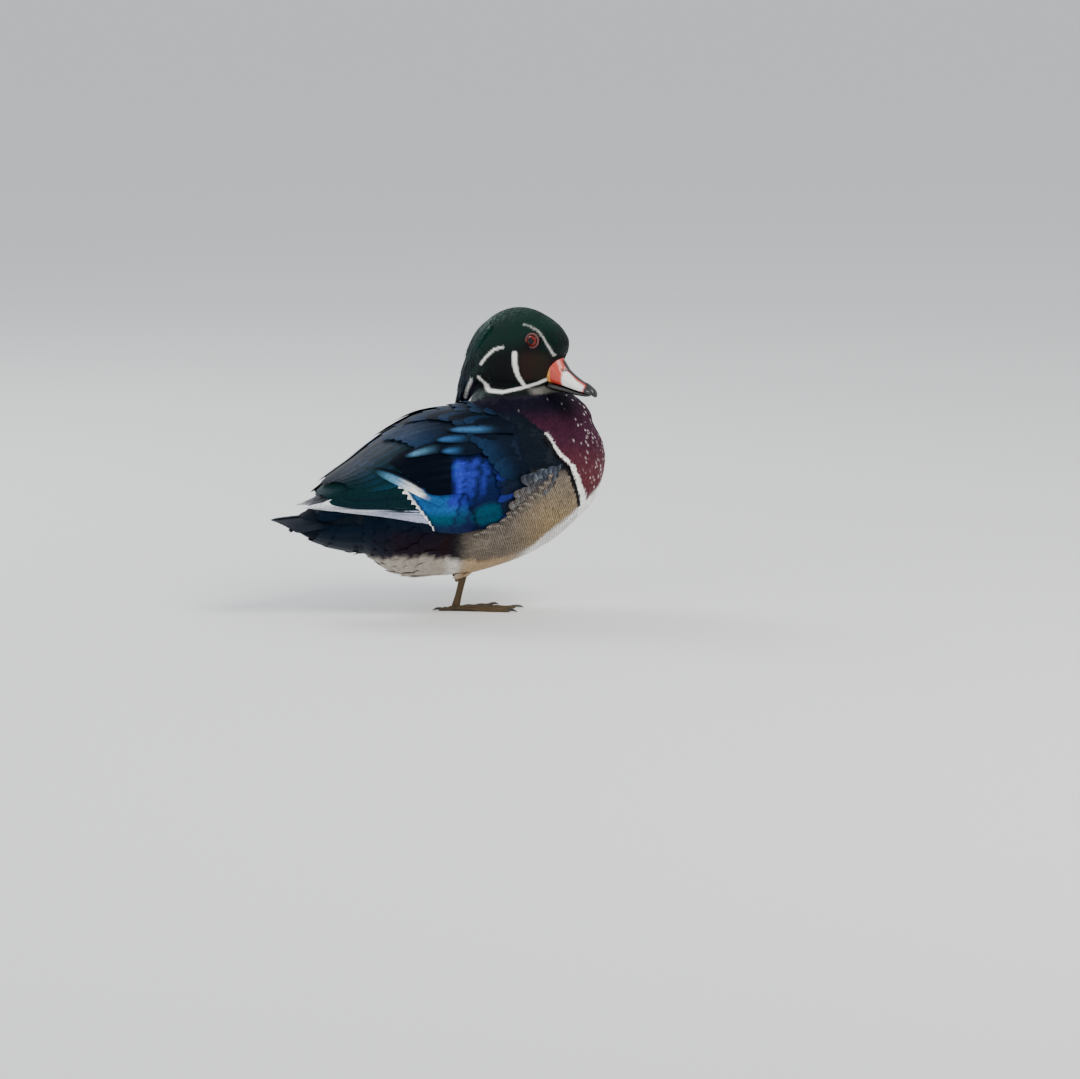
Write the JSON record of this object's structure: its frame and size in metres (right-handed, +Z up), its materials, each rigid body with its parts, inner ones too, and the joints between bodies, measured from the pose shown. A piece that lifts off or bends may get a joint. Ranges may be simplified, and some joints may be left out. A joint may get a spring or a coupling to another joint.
{
  "type": "wood duck",
  "caption": "Still model of a drake wood duck resting on one leg, neck drawn in and head turned to its right, wings folded over the back.",
  "frame": {"origin": "on the floor under the sole of the standing foot, near its ankle", "axes": "+X the way the body faces, +Y its left side, +Z up"},
  "size_m": [0.2813, 0.1222, 0.2497],
  "materials": {
    "trunk_plumage": "soft feathers: chestnut breast, fine-barred buff flanks, white belly, blue-black back",
    "neck_plumage": "soft feathers, dark purple-black to maroon",
    "head_plumage": "silky iridescent green and blue-black crest with white lines",
    "wing_plumage": "iridescent blue-black feathers, silver-edged primaries",
    "tail_plumage": "dark green-black feathers with a slight sheen",
    "thigh_plumage": "soft pale down",
    "bill": "satin horn: red base, white side, black ridge",
    "bill_black": "satin black horn",
    "eye": "wet gloss, red iris and black pupil",
    "eyelid": "bare skin ring",
    "leg_skin": "scaly skin",
    "claw": "satin horn"
  },
  "bodies": {
    "root": {"trunk": "trunk_plumage", "neck": "neck_plumage", "head": "head_plumage", "bill_upper": "bill", "bill_lower": "bill_black", "bill_nail": "bill_black", "eye_right": "eye", "eye_left": "eye", "eyelid_right": "eyelid", "eyelid_left": "eyelid", "wing_right": "wing_plumage", "wing_left": "wing_plumage", "tail": "tail_plumage", "thigh_right": "thigh_plumage", "tarsus_right": "leg_skin", "foot_right": "leg_skin", "tarsus_left": "leg_skin", "foot_left": "leg_skin", "claw_right_outer": "claw", "claw_right_middle": "claw", "claw_right_inner": "claw", "claw_right_hind": "claw", "claw_left_outer": "claw", "claw_left_middle": "claw", "claw_left_inner": "claw"}
  },
  "joints": []
}
